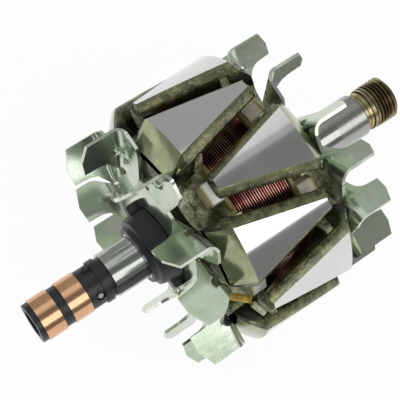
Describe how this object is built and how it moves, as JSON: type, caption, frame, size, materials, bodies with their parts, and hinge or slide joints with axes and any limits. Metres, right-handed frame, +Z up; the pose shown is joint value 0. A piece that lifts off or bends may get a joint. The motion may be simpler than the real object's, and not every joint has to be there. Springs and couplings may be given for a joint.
{
  "type": "alternator rotor",
  "caption": "Claw pole rotor of a vehicle alternator with its field winding, pressed fans at both ends, copper slip rings and a threaded drive end",
  "frame": {"origin": "on the shaft axis, in the middle of the drive end bearing journal", "axes": "+X along the shaft out of the drive end, +Z up as the rotor lies in the picture, +Y across"},
  "size_m": [0.1578, 0.097, 0.097],
  "materials": {
    "ground_steel": "ground and polished, golden tint on the thread",
    "pole_steel": "turned outside, dull olive forged faces under clear varnish",
    "core_steel": "plain forged steel",
    "bobbin_plastic": "pale moulding with brown varnish at the edges",
    "enamelled_copper": "dark red enamelled wire under varnish",
    "fan_sheet": "zinc plated sheet with a pale green passivated gloss",
    "black_moulding": "black moulded resin",
    "ring_copper": "polished copper",
    "terminal_metal": "bright tinned",
    "sleeve_lacquer": "amber varnished sleeving",
    "lashing_cord": "pale varnished cord"
  },
  "bodies": {
    "root": {"shaft": "ground_steel", "drive_end_pole": "pole_steel", "slip_ring_end_pole": "pole_steel", "pole_core": "core_steel", "coil_bobbin": "bobbin_plastic", "field_winding": "enamelled_copper", "drive_end_fan": "fan_sheet", "slip_ring_end_fan": "fan_sheet", "slip_ring_carrier": "black_moulding", "outer_slip_ring": "ring_copper", "inner_slip_ring": "ring_copper", "ring_terminal_a": "terminal_metal", "ring_terminal_b": "terminal_metal", "lead_sleeve_a": "sleeve_lacquer", "lead_sleeve_b": "sleeve_lacquer", "lead_lashing": "lashing_cord"}
  },
  "joints": []
}
